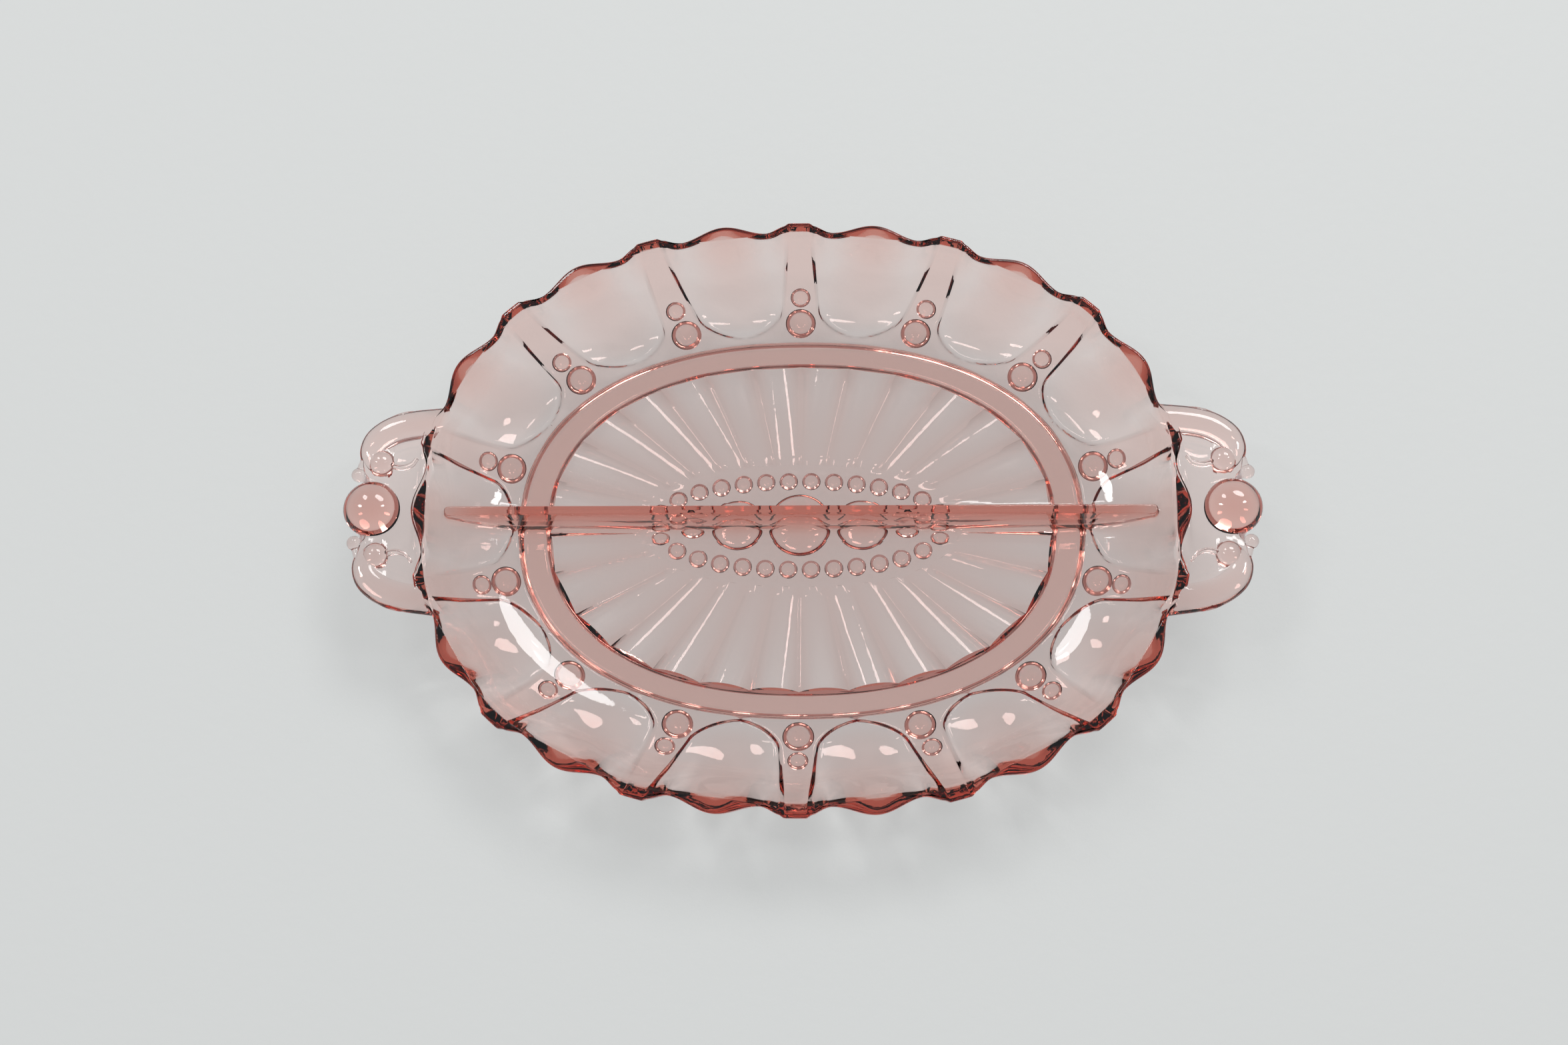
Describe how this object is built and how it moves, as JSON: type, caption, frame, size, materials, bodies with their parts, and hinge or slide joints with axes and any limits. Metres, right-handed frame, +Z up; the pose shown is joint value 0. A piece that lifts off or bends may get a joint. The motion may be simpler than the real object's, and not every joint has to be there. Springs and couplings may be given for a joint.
{
  "type": "divided relish dish",
  "caption": "Oval pressed-glass serving dish with a scalloped rim, tab handles at its ends and a low divider that makes compartments.",
  "frame": {"origin": "centre of the foot ring's flat underside", "axes": "+Z up out of the dish, X along the divider and the handles, Y across the dish from one compartment to the other"},
  "size_m": [0.2598, 0.1728, 0.0318],
  "materials": {
    "pink_glass": "fire-polished pressed glass, pale pink, nearly clear where it is thin and red-brown where one looks along it"
  },
  "bodies": {
    "root": {"base_plate": "pink_glass", "foot_ring": "pink_glass", "side_wall": "pink_glass", "rim": "pink_glass", "divider": "pink_glass", "handle_left": "pink_glass", "handle_right": "pink_glass"}
  },
  "joints": []
}
